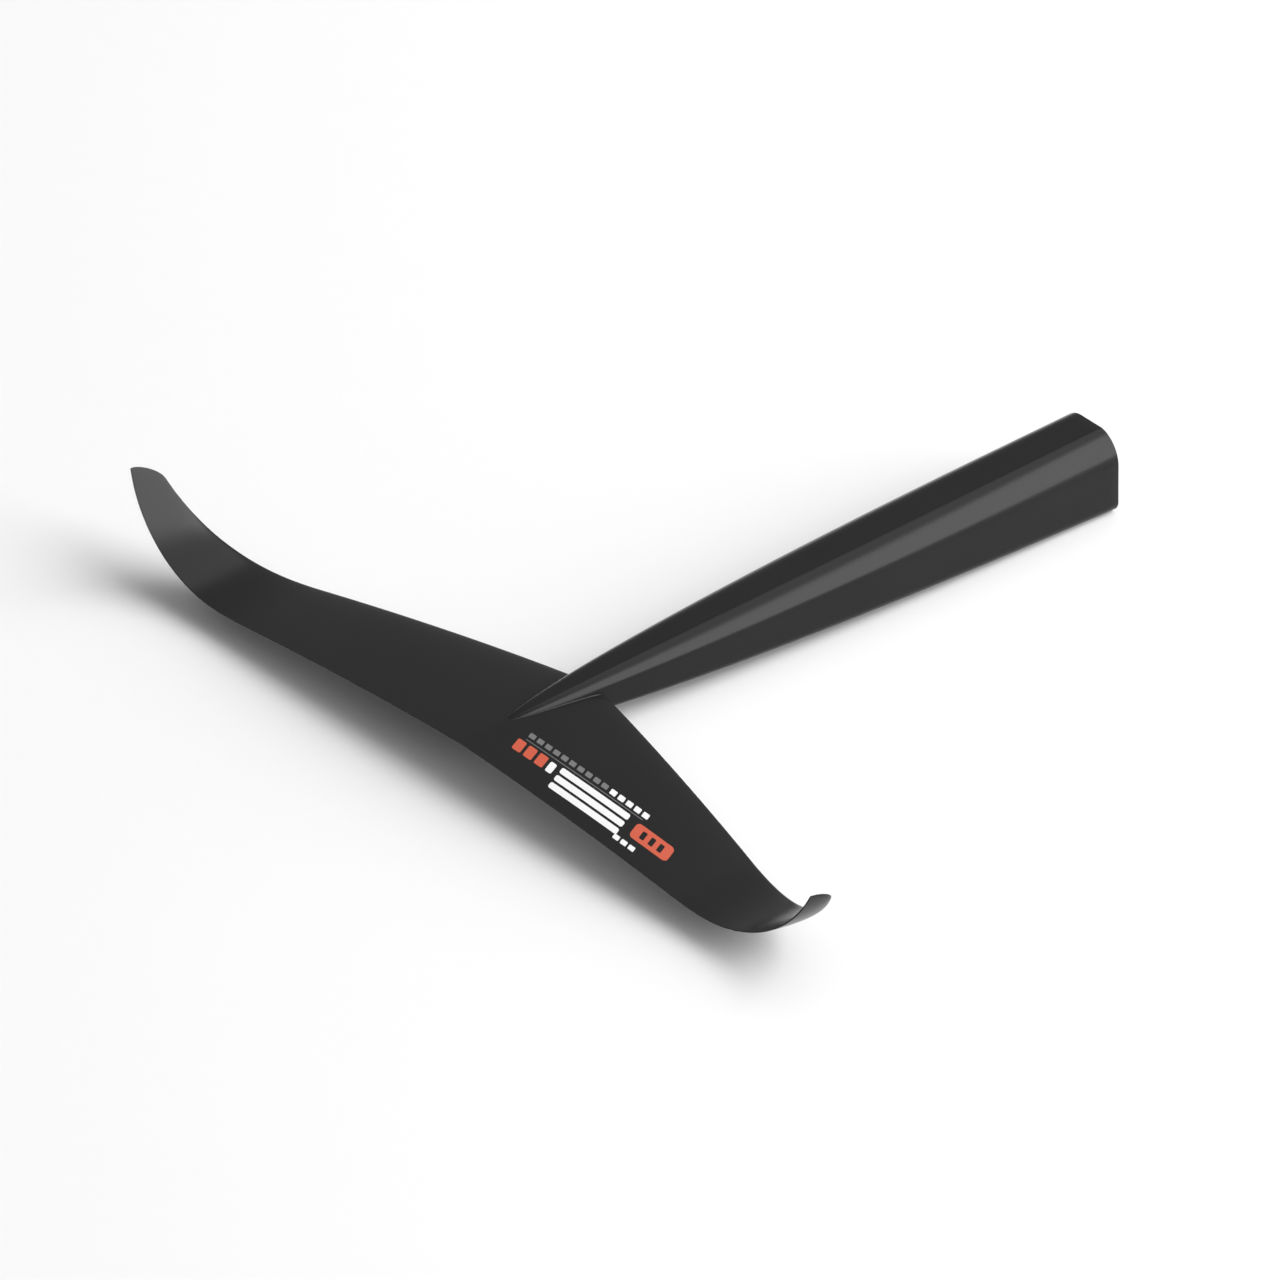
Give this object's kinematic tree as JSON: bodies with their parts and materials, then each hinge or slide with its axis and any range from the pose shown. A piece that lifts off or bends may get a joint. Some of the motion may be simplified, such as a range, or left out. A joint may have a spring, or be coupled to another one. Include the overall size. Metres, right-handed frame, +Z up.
{
  "type": "hydrofoil tail wing",
  "caption": "Carbon tail wing of a hydrofoil with upturned tips, made in one with a long tapering tail cone whose open front end sockets onto the fuselage",
  "frame": {"origin": "centre of the socket mouth at the front end of the tail cone", "axes": "+X along the span to the wing's right tip, +Y forward out of the socket mouth along the cone's axis, +Z up, the way the winglets turn"},
  "size_m": [0.4156, 0.33, 0.0448],
  "materials": {
    "satin_carbon": "satin",
    "bare_carbon": "matt carbon laminate",
    "solid_laminate": "moulded solid laminate",
    "core_foam": "closed-cell foam",
    "stainless_steel": "turned stainless"
  },
  "bodies": {
    "wing_and_cone": {"wing_upper_skin": "satin_carbon", "wing_lower_skin": "satin_carbon", "winglet_left": "satin_carbon", "winglet_right": "satin_carbon", "cone_upper_shell": "satin_carbon", "cone_lower_shell": "satin_carbon", "wing_spar": "bare_carbon", "socket_liner": "solid_laminate", "root_bulkhead": "solid_laminate", "socket_end_plug": "solid_laminate", "root_block_front": "solid_laminate", "root_block_rear": "solid_laminate", "core_front_left": "core_foam", "core_front_right": "core_foam", "core_rear_left": "core_foam", "core_rear_right": "core_foam", "cone_foam_core": "core_foam", "screw_bushing_front": "stainless_steel", "screw_bushing_rear": "stainless_steel"},
    "front_screw": {"screw_front": "stainless_steel"},
    "rear_screw": {"screw_rear": "stainless_steel"}
  },
  "joints": [
    {"name": "front_screw_withdraw", "type": "slide", "parent": "wing_and_cone", "child": "front_screw", "axis": [0, 0, -1], "range_m": [0, 0.02]},
    {"name": "rear_screw_withdraw", "type": "slide", "parent": "wing_and_cone", "child": "rear_screw", "axis": [0, 0, -1], "range_m": [0, 0.02]}
  ]
}
